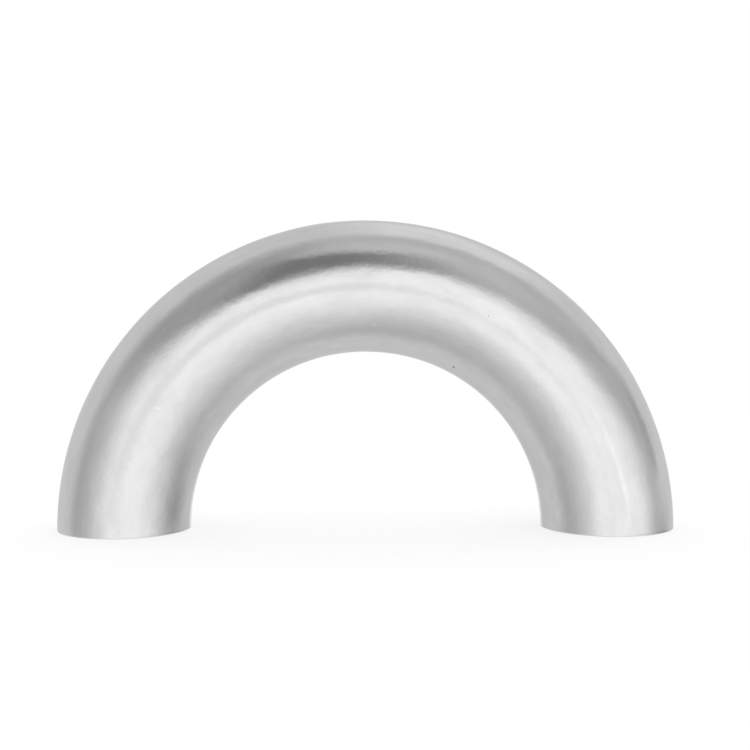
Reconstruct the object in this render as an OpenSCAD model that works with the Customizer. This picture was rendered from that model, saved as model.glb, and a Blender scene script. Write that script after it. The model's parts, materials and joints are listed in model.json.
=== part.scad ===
// Return bend: thin-walled stainless steel tube bent through half a turn, with square-cut ends for butt welding.
// It stands on its two ends in the plane z = 0 and arches over the origin, along x. Millimetres throughout.

/* [Tube] */
// Outside diameter of the tube
tube_od = 38.1; // [20:0.1:80]
// Nominal wall thickness of the tube
wall = 1.65; // [1:0.05:5]

/* [Bend] */
// Clear radius inside the bend, from its centre to the near side of the tube
inside_radius = 50.8; // [20:0.1:200]
// Distance that bending shifts the bore outwards, thinning the outer wall and thickening the inner one
wall_shift = 0.2; // [0:0.05:0.6]

/* [Ends] */
// Width of the edge break filed round the outer and inner rims of each end
edge_break = 0.3; // [0.1:0.05:0.6]

/* [Hidden] */
$fn = 180;

// Half a turn sends the flow back beside the way it came
turn = 180;

// The two round walls of the tube, and the circles that they are bent round
tube_radius = tube_od / 2;
bore_radius = tube_radius - wall;
centre_radius = inside_radius + tube_radius;
bore_centre_radius = centre_radius + wall_shift;

// How far the edge-break cutters run past the metal
overrun = edge_break;

// Cross-section of the bent tube: a round tube whose bore sits off centre, towards the outside of the bend
module tube_section() {
    difference() {
        translate([centre_radius, 0]) circle(r = tube_radius);
        translate([bore_centre_radius, 0]) circle(r = bore_radius);
    }
}

// The tube swept from the end at +x, over the top, to the end at -x
module bent_tube() {
    rotate([90, 0, 0])
        rotate_extrude(angle = turn)
            tube_section();
}

// Ring that takes the corner off a rim: side is 1 for an outer rim and -1 for the rim of a bore
module rim_cutter(rim_radius, side) {
    rotate_extrude()
        polygon([
            [rim_radius - side * (edge_break + overrun), -overrun],
            [rim_radius + side * overrun, -overrun],
            [rim_radius + side * overrun, edge_break + overrun]
        ]);
}

// Both rims of the end on one side of the bend
module end_cutters(side) {
    translate([side * centre_radius, 0, 0]) rim_cutter(tube_radius, 1);
    translate([side * bore_centre_radius, 0, 0]) rim_cutter(bore_radius, -1);
}

module return_bend() {
    color("silver")
        difference() {
            bent_tube();
            for (side = [-1, 1]) end_cutters(side);
        }
}

return_bend();
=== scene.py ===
"""Return bend: a stainless steel tube bent through half a turn, standing on its two square-cut ends.

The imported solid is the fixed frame. The tube is modelled again here with the slight unevenness that
bending and polishing leave in its walls, and gets its three finishes: satin outside, mill finish in the
bore and faced ends.
"""

import json
import math

import bpy
from mathutils import Matrix, Vector


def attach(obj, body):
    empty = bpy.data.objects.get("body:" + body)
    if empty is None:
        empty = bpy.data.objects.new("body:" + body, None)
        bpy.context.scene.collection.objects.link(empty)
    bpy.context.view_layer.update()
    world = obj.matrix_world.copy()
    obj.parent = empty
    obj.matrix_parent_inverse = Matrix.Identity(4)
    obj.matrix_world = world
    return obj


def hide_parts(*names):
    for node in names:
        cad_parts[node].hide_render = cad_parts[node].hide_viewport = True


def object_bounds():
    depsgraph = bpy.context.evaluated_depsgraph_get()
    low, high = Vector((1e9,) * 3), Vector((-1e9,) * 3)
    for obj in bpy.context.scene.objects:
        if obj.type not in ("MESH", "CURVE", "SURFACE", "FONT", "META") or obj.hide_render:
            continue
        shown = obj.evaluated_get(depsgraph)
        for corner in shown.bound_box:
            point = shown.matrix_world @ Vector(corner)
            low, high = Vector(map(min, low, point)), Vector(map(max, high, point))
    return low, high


bl_info = {
    "name": "Return bend",
    "version": (1, 0, 0),
    "blender": (4, 5, 0),
    "location": "3D View > Sidebar > Return bend",
    "description": "A satin stainless return bend and the small studio that it stands in",
    "category": "Add Mesh",
}

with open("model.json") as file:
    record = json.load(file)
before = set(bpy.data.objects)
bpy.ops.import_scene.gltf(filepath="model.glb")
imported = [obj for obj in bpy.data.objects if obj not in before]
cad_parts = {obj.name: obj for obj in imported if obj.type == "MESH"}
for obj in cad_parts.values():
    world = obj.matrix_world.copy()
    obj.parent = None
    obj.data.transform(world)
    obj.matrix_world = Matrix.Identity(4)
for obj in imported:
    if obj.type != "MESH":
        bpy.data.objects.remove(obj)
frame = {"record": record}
CAD_LOW, CAD_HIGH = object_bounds()
# How far the middle of each end lies from the middle of the bend
END_PLACE = max(mount["pos_m"][0] for mount in frame["record"]["mounts"])

MM = 0.001
NODE = "return_bend"
BODY = "root"

# Faces round the tube, along the bend and across the rounding of a rim
ROUND_STEPS = 128
LENGTH_STEPS = 256
RIM_SEGMENTS = 3
# Edges that turn by more than this stay sharp
SMOOTH_ANGLE = math.radians(40)
# How near two points, or a point and a plane, have to lie to count as touching
TOUCH = 0.001 * MM
# Order of the finishes in the tube's material slots
OUTSIDE, BORE, ENDS = range(3)

# Size of each pattern's spots: two directions across the straightened tube and one along it, and for the
# cut marks the frame's own three. Real draw lines and cut marks are finer: these are drawn as coarse as
# they need to be to show.
CLOUDS = (4.0 * MM, 4.0 * MM, 10.0 * MM)
DRAW_LINES = (0.6 * MM, 0.6 * MM, 30.0 * MM)
CUT_MARKS = (0.25 * MM, 8.0 * MM, 8.0 * MM)
LINE_DEPTH = 0.01 * MM
# Width, length and depth of the waves in the satin: shallow ones from bending, then two of orange peel
WAVES = (
    (8.0 * MM, 14.0 * MM, 0.10 * MM),
    (2.8 * MM, 3.4 * MM, 0.045 * MM),
    (0.9 * MM, 1.1 * MM, 0.020 * MM))

# The middle span of a noise, over which the roughness goes from its least to its most
NOISE_LOW, NOISE_HIGH = 0.3, 0.7
MILL_ROUGHNESS = (0.38, 0.52)
FACED_ROUGHNESS = (0.24, 0.36)
# How far the satin's roughness goes below and above its middle value
SATIN_SPREAD = 0.03

# How far from its middle the colour of a mark begins and is full, in widths of the mark
NICK_GLINT_FADE = (0.6, 0.4)
PIT_FADE = (0.7, 0.3)
# Middle and width of the two dark pits in the outer wall
PITS = (
    (Vector((24.9, -8.4, 46.5)) * MM, 0.9 * MM),
    (Vector((33.7, -19.0, 60.7)) * MM, 0.3 * MM))

# The Mix node's inputs by number, since their names repeat, and its output for colours
MIX_FACTOR = 0
NUMBER_A, NUMBER_B = 2, 3
COLOUR_A, COLOUR_B = 6, 7
MIXED_COLOUR = 2

WHITE = (1.0, 1.0, 1.0, 1.0)
CLIP_START = 10 * MM

# The soft studio: the brightness of its walls, and panels that stand before them, from the back to the
# front. Each panel has its brightness and its edges. An edge runs across a direction seen from the part,
# from where the panel is gone to where it is full.
WALL_LEVEL = 0.52
RIGHT, AWAY, UP = Vector((1, 0, 0)), Vector((0, 1, 0)), Vector((0, 0, 1))
SLANT = RIGHT + 1.2 * UP
IN_FRONT = (AWAY, 0.20, -0.30)
PANELS = {
    "backdrop": (0.85, [(AWAY, -0.25, 0.25)]),
    "far backdrop": (0.75, [(AWAY, 0.50, 0.95)]),
    "back light": (1.40, [(AWAY, 0.88, 0.98), (UP, -0.30, 0.00)]),
    "bright backdrop": (1.00, [
        (RIGHT, -0.15, 0.10), (RIGHT, 0.75, 0.50), (UP, 0.50, 0.80), (AWAY, 0.05, 0.20)]),
    "dim right corner": (0.55, [
        (RIGHT, 0.75, 0.90), (UP, 0.00, 0.10), (UP, 0.50, 0.30),
        (AWAY, -0.15, 0.00), (AWAY, 0.35, 0.15)]),
    "upper right wall": (0.80, [(RIGHT, -0.40, 0.00), (UP, 0.10, 1.00), IN_FRONT]),
    "dim ceiling": (0.28, [
        (RIGHT, -0.50, -0.25), (RIGHT, 0.45, -0.10), (UP, 0.34, 0.40), (UP, 0.90, 0.80), IN_FRONT]),
    "dim lower right": (0.45, [
        (RIGHT, -0.05, 0.30), (UP, -0.95, -0.15), (UP, 0.00, -0.30), (AWAY, 0.90, 0.15)]),
    "side light": (1.35, [
        (RIGHT, 0.20, 0.30), (RIGHT, 1.15, 0.75), (UP, -0.75, 0.05), (UP, 0.40, -0.15), IN_FRONT]),
    "soft box": (1.35, [
        (RIGHT, -1.20, -0.15), (RIGHT, 1.05, 0.45), (UP, -1.30, -0.15), (UP, 0.55, 0.20), IN_FRONT]),
    "soft box top": (1.40, [
        (RIGHT, -0.30, 0.15), (RIGHT, 0.75, 0.00), (UP, -1.30, 0.15), (UP, 0.65, 0.40), IN_FRONT]),
    "low fill": (1.40, [
        (RIGHT, -0.50, -0.15), (RIGHT, 0.00, -0.10), (UP, -0.55, -0.30), (UP, -0.10, -0.20), IN_FRONT]),
    "strip light": (1.65, [
        (SLANT, 0.30, 0.34), (SLANT, 0.42, 0.38), (UP, -0.13, -0.10), (UP, 0.02, -0.01), IN_FRONT]),
    "camera side": (1.20, [
        (RIGHT, -0.50, -0.20), (RIGHT, 0.10, 0.00), (UP, -0.20, -0.10), (UP, 0.10, 0.00), IN_FRONT]),
}


def linear(hex_code):
    """Linear colour of an sRGB hex code."""
    channels = [int(hex_code[i:i + 2], 16) / 255 for i in (1, 3, 5)]
    return [c / 12.92 if c <= 0.04045 else ((c + 0.055) / 1.055) ** 2.4 for c in channels]


class BendSizes(bpy.types.PropertyGroup):
    """Sizes of the bent tube."""

    tube_radius: bpy.props.FloatProperty(
        name="Tube radius", description="Outside radius of the tube",
        default=CAD_HIGH.z - END_PLACE, min=0.0, unit="LENGTH")
    centre_radius: bpy.props.FloatProperty(
        name="Bend radius", description="Radius of the bend at the tube's centre line",
        default=END_PLACE, min=0.0, unit="LENGTH")
    wall: bpy.props.FloatProperty(
        name="Wall", description="Nominal thickness of the tube's wall",
        default=1.65 * MM, min=0.0, unit="LENGTH")
    wall_shift: bpy.props.FloatProperty(
        name="Wall shift", description="How far bending moves the bore outwards",
        default=0.2 * MM, min=0.0, unit="LENGTH")
    edge_break: bpy.props.FloatProperty(
        name="Edge break", description="Width of the rounding filed on the rims",
        default=0.3 * MM, min=0.0, unit="LENGTH")
    swell_depth: bpy.props.FloatProperty(
        name="Swell depth", description="Depth of the long shallow hollows left by bending",
        default=0.10 * MM, min=0.0, unit="LENGTH")
    swell_length: bpy.props.FloatProperty(
        name="Swell length", description="Length of those hollows",
        default=22.0 * MM, min=0.0, unit="LENGTH")
    ripple_depth: bpy.props.FloatProperty(
        name="Ripple depth", description="Depth of the short ripples left by polishing",
        default=0.03 * MM, min=0.0, unit="LENGTH")
    ripple_length: bpy.props.FloatProperty(
        name="Ripple length", description="Length of those ripples",
        default=6.0 * MM, min=0.0, unit="LENGTH")


class SteelFinish(bpy.types.PropertyGroup):
    """Colours and gloss of the steel."""

    satin_light: bpy.props.FloatVectorProperty(
        name="Satin steel, clear", description="Polished steel where the finish is cleanest",
        default=linear("#D4D4D4"), subtype="COLOR", min=0.0, max=1.0)
    satin_dull: bpy.props.FloatVectorProperty(
        name="Satin steel, dull", description="Polished steel where the finish is cloudy",
        default=linear("#C2C2C2"), subtype="COLOR", min=0.0, max=1.0)
    satin_roughness: bpy.props.FloatProperty(
        name="Satin roughness", description="Middle roughness of the polished outside",
        default=0.13, min=0.0, max=1.0, subtype="FACTOR")
    bore: bpy.props.FloatVectorProperty(
        name="Bore", description="Mill finish inside the tube",
        default=linear("#C8C8C8"), subtype="COLOR", min=0.0, max=1.0)
    faced: bpy.props.FloatVectorProperty(
        name="Faced ends", description="Freshly cut metal on the ends",
        default=linear("#E4E4E4"), subtype="COLOR", min=0.0, max=1.0)
    # Painted glint: the tiny nicks are painted lighter than the satin, for the light that their bare metal
    # catches
    nick_glint: bpy.props.FloatVectorProperty(
        name="Nicks", description="Bare metal in the tiny nicks",
        default=linear("#D8D8D8"), subtype="COLOR", min=0.0, max=1.0)
    nick_width: bpy.props.FloatProperty(
        name="Nick width", description="Width of the nicks",
        default=0.4 * MM, min=0.0, unit="LENGTH")
    nick_length: bpy.props.FloatProperty(
        name="Nick length", description="Length of the nicks, across the tube",
        default=1.0 * MM, min=0.1 * MM, unit="LENGTH")
    nick_spacing: bpy.props.FloatProperty(
        name="Nick spacing",
        description="Length along the tube of the blocks of space that hold one nick each",
        default=5.0 * MM, min=0.1 * MM, unit="LENGTH")
    # Darker colour painted on two small spots in the outer wall, where the pits are
    dark_spot: bpy.props.FloatVectorProperty(
        name="Pits", description="Dirt held in the small pits",
        default=linear("#8A8A8A"), subtype="COLOR", min=0.0, max=1.0)


class Studio(bpy.types.PropertyGroup):
    """Camera, floor and light."""

    distance: bpy.props.FloatProperty(
        name="Camera distance", description="From the camera to the point that it looks at",
        default=343.9 * MM, min=0.0, unit="LENGTH")
    azimuth: bpy.props.FloatProperty(
        name="Camera azimuth", description="Turn of the camera round the part",
        default=math.radians(-0.424), subtype="ANGLE")
    elevation: bpy.props.FloatProperty(
        name="Camera elevation", description="Height of the camera above the horizon",
        default=math.radians(2.137), subtype="ANGLE")
    roll: bpy.props.FloatProperty(
        name="Camera roll", description="Tilt of the camera about its own axis",
        default=math.radians(-0.206), subtype="ANGLE")
    target: bpy.props.FloatVectorProperty(
        name="Camera target", description="The point that the camera looks at",
        default=(2.81 * MM, 0.0, 44.15 * MM), subtype="TRANSLATION")
    lens: bpy.props.FloatProperty(
        name="Lens", description="Focal length on a 36 mm sensor",
        default=57.09, subtype="DISTANCE_CAMERA")
    floor_radius: bpy.props.FloatProperty(
        name="Floor radius", description="Radius of the round white table top",
        default=500 * MM, min=0.0, unit="LENGTH")
    floor_light: bpy.props.FloatProperty(
        name="Floor light",
        description="How brightly the room lights a bare white floor, as a share of white",
        default=0.72, min=0.0)
    shadow: bpy.props.FloatProperty(
        name="Shadow", description="Share of the floor's white that the part's shadow can take away",
        default=0.3, min=0.0, max=1.0, subtype="FACTOR")


def add_node(tree, kind, inputs=None, **settings):
    """Add a node with its settings, and set or link its inputs."""
    node = tree.nodes.new(kind)
    for name, value in settings.items():
        setattr(node, name, value)
    for name, value in (inputs or {}).items():
        if isinstance(value, bpy.types.NodeSocket):
            tree.links.new(value, node.inputs[name])
        else:
            node.inputs[name].default_value = value
    return node


def new_material(name):
    """An empty node material and its tree."""
    material = bpy.data.materials.new(name)
    material.use_nodes = True
    material.node_tree.nodes.clear()
    return material, material.node_tree


def straightened(tree, place, sizes):
    """A place on the tube as if it were unbent: two directions across it, and the length along it."""
    flat = add_node(tree, "ShaderNodeVectorMath", {0: place, 1: (1.0, 0.0, 1.0)}, operation="MULTIPLY")
    reach = add_node(tree, "ShaderNodeVectorMath", {0: flat.outputs["Vector"]}, operation="LENGTH")
    parts = add_node(tree, "ShaderNodeSeparateXYZ", {0: place})
    across = add_node(
        tree, "ShaderNodeMath", {0: reach.outputs["Value"], 1: sizes.centre_radius}, operation="SUBTRACT")
    turn = add_node(
        tree, "ShaderNodeMath", {0: parts.outputs["Z"], 1: parts.outputs["X"]}, operation="ARCTAN2")
    along = add_node(
        tree, "ShaderNodeMath", {0: turn.outputs[0], 1: sizes.centre_radius}, operation="MULTIPLY")
    unbent = add_node(tree, "ShaderNodeCombineXYZ", {
        "X": across.outputs[0], "Y": parts.outputs["Y"], "Z": along.outputs[0]})
    return unbent.outputs[0]


def spotted(tree, place, spot, detail, roughness=0.5):
    """Noise whose spots have their own size in each direction."""
    stretch = add_node(tree, "ShaderNodeMapping", {"Vector": place, "Scale": [1 / size for size in spot]})
    noise = add_node(tree, "ShaderNodeTexNoise", {
        "Vector": stretch.outputs[0], "Scale": 1.0, "Detail": detail, "Roughness": roughness})
    return noise.outputs["Fac"]


def nick_glint_cover(tree, unbent, finish):
    """Where the nicks are, which carry a painted glint: short slim marks across the tube, one in each
    block of space.
    """
    slim = finish.nick_width / finish.nick_length
    drawn_out = add_node(tree, "ShaderNodeMapping", {"Vector": unbent, "Scale": (slim, slim, 1.0)})
    nicks = add_node(tree, "ShaderNodeTexVoronoi", {
        "Vector": drawn_out.outputs[0], "Scale": 1 / finish.nick_spacing})
    begins, full = (share * finish.nick_width / finish.nick_spacing for share in NICK_GLINT_FADE)
    cover = add_node(tree, "ShaderNodeMapRange", {
        "Value": nicks.outputs["Distance"], "From Min": begins, "From Max": full},
        interpolation_type="SMOOTHSTEP")
    return cover.outputs[0]


def pit_cover(tree, place, middle, width):
    """Where a small round pit is."""
    away = add_node(tree, "ShaderNodeVectorMath", {0: place, 1: middle}, operation="DISTANCE")
    begins, full = (share * width for share in PIT_FADE)
    cover = add_node(tree, "ShaderNodeMapRange", {
        "Value": away.outputs["Value"], "From Min": begins, "From Max": full},
        interpolation_type="SMOOTHSTEP")
    return cover.outputs[0]


def satin_relief(tree, unbent):
    """Shallow waves from the bending, and the orange peel between them."""
    height = 0.0
    for width, length, depth in WAVES:
        wave = spotted(tree, unbent, (width, width, length), detail=2.0, roughness=0.4)
        height = add_node(
            tree, "ShaderNodeMath", {0: wave, 1: depth, 2: height}, operation="MULTIPLY_ADD").outputs[0]
    return add_node(tree, "ShaderNodeBump", {"Height": height, "Distance": 1.0}).outputs[0]


def bare_metal(tree, colour, noise, roughness, normal):
    """Bare metal whose roughness follows a noise from its least to its most."""
    least, most = roughness
    gloss = add_node(tree, "ShaderNodeMapRange", {
        "Value": noise, "From Min": NOISE_LOW, "From Max": NOISE_HIGH, "To Min": least, "To Max": most})
    shader = add_node(tree, "ShaderNodeBsdfPrincipled", {
        "Base Color": colour, "Metallic": 1.0, "Roughness": gloss.outputs[0], "Normal": normal})
    add_node(tree, "ShaderNodeOutputMaterial", {"Surface": shader.outputs[0]})


def satin_steel(finish, sizes):
    """304 stainless steel, polished to a satin.

    To the eye it is a soft mirror with a faint orange peel, cloudy patches, tiny nicks that carry a
    painted glint, and two pits painted as small dark spots.
    """
    material, tree = new_material("satin_stainless")
    place = add_node(tree, "ShaderNodeTexCoord").outputs["Object"]
    unbent = straightened(tree, place, sizes)
    clouds = spotted(tree, unbent, CLOUDS, detail=3.0, roughness=0.6)
    tone = add_node(tree, "ShaderNodeMix", {
        MIX_FACTOR: clouds, COLOUR_A: (*finish.satin_light, 1.0), COLOUR_B: (*finish.satin_dull, 1.0)},
        data_type="RGBA").outputs[MIXED_COLOUR]
    # Painted over the tone: a lighter painted glint on the nicks, then the two small dark spots of the
    # pits
    marks = [(nick_glint_cover(tree, unbent, finish), finish.nick_glint)]
    for middle, width in PITS:
        marks.append((pit_cover(tree, place, middle, width), finish.dark_spot))
    for cover, colour in marks:
        tone = add_node(tree, "ShaderNodeMix", {
            MIX_FACTOR: cover, COLOUR_A: tone, COLOUR_B: (*colour, 1.0)},
            data_type="RGBA").outputs[MIXED_COLOUR]
    roughness = (finish.satin_roughness - SATIN_SPREAD, finish.satin_roughness + SATIN_SPREAD)
    bare_metal(tree, tone, clouds, roughness, satin_relief(tree, unbent))
    return material


def mill_steel(finish, sizes):
    """304 stainless steel as it comes from the tube mill: duller, with draw lines along the bore."""
    material, tree = new_material("mill_finish_stainless")
    place = add_node(tree, "ShaderNodeTexCoord").outputs["Object"]
    lines = spotted(tree, straightened(tree, place, sizes), DRAW_LINES, detail=3.0)
    bump = add_node(tree, "ShaderNodeBump", {"Height": lines, "Distance": LINE_DEPTH})
    bare_metal(tree, (*finish.bore, 1.0), lines, MILL_ROUGHNESS, bump.outputs[0])
    return material


def faced_steel(finish):
    """304 stainless steel cut square and faced: bright metal with fine straight marks from the cut."""
    material, tree = new_material("faced_stainless")
    place = add_node(tree, "ShaderNodeTexCoord").outputs["Object"]
    lines = spotted(tree, place, CUT_MARKS, detail=2.0)
    bump = add_node(tree, "ShaderNodeBump", {"Height": lines, "Distance": LINE_DEPTH})
    bare_metal(tree, (*finish.faced, 1.0), lines, FACED_ROUGHNESS, bump.outputs[0])
    return material


def is_outside(point, sizes):
    """True for a point nearer to the outer wall than to the bore."""
    reach = math.hypot(point.x, point.z)
    from_centre = math.hypot(reach - sizes.centre_radius, point.y)
    return from_centre > sizes.tube_radius - sizes.wall / 2


def select_rims(mesh_object, sizes):
    """Select the four round rims: edges in the plane of the ends that run round a wall."""
    mesh = mesh_object.data
    bpy.ops.mesh.select_all(action="DESELECT")
    bpy.ops.mesh.select_mode(type="EDGE")
    bpy.ops.object.mode_set(mode="OBJECT")
    for edge in mesh.edges:
        first, second = (mesh.vertices[i].co for i in edge.vertices)
        on_end = abs(first.z) < TOUCH and abs(second.z) < TOUCH
        edge.select = on_end and is_outside(first, sizes) == is_outside(second, sizes)
    bpy.ops.object.mode_set(mode="EDIT")


def dent(mesh_object, name, depth, length, group):
    """Press shallow hollows into the walls, never proud of the drawn surface."""
    cloud = bpy.data.textures.new(name, "CLOUDS")
    cloud.noise_scale = length
    cloud.noise_depth = 1
    modifier = mesh_object.modifiers.new(name, "DISPLACE")
    modifier.texture = cloud
    modifier.texture_coords = "LOCAL"
    modifier.strength = depth
    modifier.mid_level = 1.0
    modifier.vertex_group = group.name
    bpy.ops.object.modifier_apply(modifier=name)


def bend_tube(sizes):
    """Draw the tube's ring section at the right end and spin it half a turn to the left one."""
    bore_radius = sizes.tube_radius - sizes.wall
    bpy.ops.object.select_all(action="DESELECT")
    bpy.ops.mesh.primitive_circle_add(
        vertices=ROUND_STEPS, radius=sizes.tube_radius, calc_uvs=False,
        location=(sizes.centre_radius, 0.0, 0.0))
    tube = bpy.context.active_object
    tube.name = tube.data.name = "bent_tube"
    bpy.ops.object.transform_apply(location=True, rotation=False, scale=False)
    bpy.ops.object.mode_set(mode="EDIT")
    bpy.ops.mesh.primitive_circle_add(
        vertices=ROUND_STEPS, radius=bore_radius, calc_uvs=False,
        location=(sizes.centre_radius + sizes.wall_shift, 0.0, 0.0))
    bpy.ops.mesh.select_all(action="SELECT")
    bpy.ops.mesh.bridge_edge_loops()
    bpy.ops.mesh.spin(steps=LENGTH_STEPS, angle=math.pi, center=(0.0, 0.0, 0.0), axis=(0.0, 1.0, 0.0))
    bpy.ops.mesh.select_all(action="SELECT")
    bpy.ops.mesh.remove_doubles(threshold=TOUCH)
    bpy.ops.mesh.normals_make_consistent(inside=False)
    select_rims(tube, sizes)
    bpy.ops.mesh.bevel(offset=sizes.edge_break, segments=RIM_SEGMENTS, affect="EDGES")
    bpy.ops.object.mode_set(mode="OBJECT")
    return tube


def finish_tube(tube, sizes, finish):
    """Give the walls their slight unevenness, and each surface its finish."""
    mesh = tube.data
    # The hollows fade out towards the ends, whose rims stay round
    walls = tube.vertex_groups.new(name="walls")
    for vertex in mesh.vertices:
        walls.add([vertex.index], min(vertex.co.z / sizes.swell_length, 1.0), "REPLACE")
    dent(tube, "bending_swell", sizes.swell_depth, sizes.swell_length, walls)
    dent(tube, "polishing_ripple", sizes.ripple_depth, sizes.ripple_length, walls)
    tube.vertex_groups.clear()
    for material in (satin_steel(finish, sizes), mill_steel(finish, sizes), faced_steel(finish)):
        mesh.materials.append(material)
    for face in mesh.polygons:
        if face.center.z < sizes.edge_break:
            face.material_index = ENDS
        else:
            face.material_index = OUTSIDE if is_outside(face.center, sizes) else BORE
    bpy.ops.object.shade_smooth_by_angle(angle=SMOOTH_ANGLE)


class RETURNBEND_OT_bend_tube(bpy.types.Operator):
    """Bend the tube through half a turn and finish it"""

    bl_idname = "return_bend.bend_tube"
    bl_label = "Bend the tube"

    def execute(self, context):
        sizes = context.scene.bend_sizes
        tube = bend_tube(sizes)
        finish_tube(tube, sizes, context.scene.steel_finish)
        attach(tube, BODY)
        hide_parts(NODE)
        return {"FINISHED"}


def ray_is(tree, *kinds):
    """1 for a ray of one of these kinds, and 0 for any other."""
    rays = add_node(tree, "ShaderNodeLightPath")
    found = 0.0
    for kind in kinds:
        found = add_node(
            tree, "ShaderNodeMath", {0: found, 1: rays.outputs[kind]}, operation="MAXIMUM").outputs[0]
    return found


def white_floor(studio):
    """White laminate that the camera sees as plain white, apart from the part's own soft shadow."""
    material, tree = new_material("white_table_top")
    seen = ray_is(tree, "Is Camera Ray", "Is Transmission Ray", "Is Glossy Ray")
    strength = add_node(tree, "ShaderNodeMath", {0: seen, 1: 1 - studio.shadow}, operation="MULTIPLY")
    white = add_node(tree, "ShaderNodeEmission", {"Strength": strength.outputs[0]})
    shade = studio.shadow / studio.floor_light
    lit = add_node(tree, "ShaderNodeBsdfDiffuse", {"Color": (shade, shade, shade, 1.0)})
    both = add_node(tree, "ShaderNodeAddShader", {0: white.outputs[0], 1: lit.outputs[0]})
    add_node(tree, "ShaderNodeOutputMaterial", {"Surface": both.outputs[0]})
    return material


def soft_panel(tree, light, way, level, edges):
    """Blend a panel of its own brightness into the light from all round, with a soft fade at each edge."""
    cover = 1.0
    for direction, gone, full in edges:
        reach = add_node(tree, "ShaderNodeVectorMath", {0: way, 1: direction}, operation="DOT_PRODUCT")
        fade = add_node(tree, "ShaderNodeMapRange", {
            "Value": reach.outputs["Value"], "From Min": gone, "From Max": full},
            interpolation_type="SMOOTHSTEP")
        cover = add_node(
            tree, "ShaderNodeMath", {0: cover, 1: fade.outputs[0]}, operation="MULTIPLY").outputs[0]
    mixed = add_node(tree, "ShaderNodeMix", {MIX_FACTOR: cover, NUMBER_A: light, NUMBER_B: level})
    return mixed.outputs[0]


def light_studio(scene):
    """A soft studio round the part, which the camera itself sees as plain white."""
    world = bpy.data.worlds.new("soft_studio")
    scene.world = world
    world.use_nodes = True
    tree = world.node_tree
    tree.nodes.clear()
    way = add_node(tree, "ShaderNodeTexCoord").outputs["Generated"]
    light = WALL_LEVEL
    for level, edges in PANELS.values():
        light = soft_panel(tree, light, way, level, edges)
    studio = add_node(tree, "ShaderNodeBackground", {"Color": WHITE, "Strength": light})
    plain = add_node(tree, "ShaderNodeBackground", {"Color": WHITE, "Strength": 1.0})
    seen = ray_is(tree, "Is Camera Ray", "Is Transmission Ray")
    sky = add_node(tree, "ShaderNodeMixShader", {0: seen, 1: studio.outputs[0], 2: plain.outputs[0]})
    add_node(tree, "ShaderNodeOutputWorld", {"Surface": sky.outputs[0]})


def place_camera(scene, studio):
    """Camera at the viewing angle, from its distance, angles and roll."""
    data = bpy.data.cameras.new("camera")
    data.lens = studio.lens
    data.clip_start = CLIP_START
    camera = bpy.data.objects.new("camera", data)
    scene.collection.objects.link(camera)
    scene.camera = camera
    level = math.cos(studio.elevation)
    back = Vector((
        math.sin(studio.azimuth) * level, -math.cos(studio.azimuth) * level, math.sin(studio.elevation)))
    look = back.to_track_quat("Z", "Y").to_matrix() @ Matrix.Rotation(studio.roll, 3, "Z")
    place = Vector(studio.target) + back * studio.distance
    camera.matrix_world = Matrix.Translation(place) @ look.to_4x4()


class RETURNBEND_OT_set_stage(bpy.types.Operator):
    """Set up the floor, the light and the camera"""

    bl_idname = "return_bend.set_stage"
    bl_label = "Set the stage"

    def execute(self, context):
        scene, studio = context.scene, context.scene.studio
        bpy.ops.object.select_all(action="DESELECT")
        bpy.ops.mesh.primitive_circle_add(
            vertices=ROUND_STEPS, radius=studio.floor_radius, fill_type="NGON")
        floor = context.active_object
        floor.name = "table_top"
        floor.data.materials.append(white_floor(studio))
        # The metal shows the soft light that comes from all round, below the horizon too
        floor.visible_glossy = False
        light_studio(scene)
        place_camera(scene, studio)
        scene.view_settings.view_transform = "Standard"
        return {"FINISHED"}


class RETURNBEND_PT_panel(bpy.types.Panel):
    """Return bend"""

    bl_idname = "RETURNBEND_PT_panel"
    bl_label = "Return bend"
    bl_space_type = "VIEW_3D"
    bl_region_type = "UI"
    bl_category = "Return bend"

    def draw(self, context):
        scene, layout = context.scene, self.layout
        for group in (scene.bend_sizes, scene.steel_finish, scene.studio):
            box = layout.box()
            for name in group.__annotations__:
                box.prop(group, name)
        layout.operator(RETURNBEND_OT_bend_tube.bl_idname)
        layout.operator(RETURNBEND_OT_set_stage.bl_idname)


CLASSES = (
    BendSizes, SteelFinish, Studio, RETURNBEND_OT_bend_tube, RETURNBEND_OT_set_stage, RETURNBEND_PT_panel)


def register():
    """Make the classes and the scene's settings known to Blender."""
    for cls in CLASSES:
        bpy.utils.register_class(cls)
    bpy.types.Scene.bend_sizes = bpy.props.PointerProperty(type=BendSizes)
    bpy.types.Scene.steel_finish = bpy.props.PointerProperty(type=SteelFinish)
    bpy.types.Scene.studio = bpy.props.PointerProperty(type=Studio)


def unregister():
    """Undo what register does, in the opposite order."""
    del bpy.types.Scene.studio
    del bpy.types.Scene.steel_finish
    del bpy.types.Scene.bend_sizes
    for cls in reversed(CLASSES):
        bpy.utils.unregister_class(cls)


def main():
    """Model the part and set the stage."""
    register()
    bpy.ops.return_bend.bend_tube()
    bpy.ops.return_bend.set_stage()


if __name__ == "__main__":
    main()
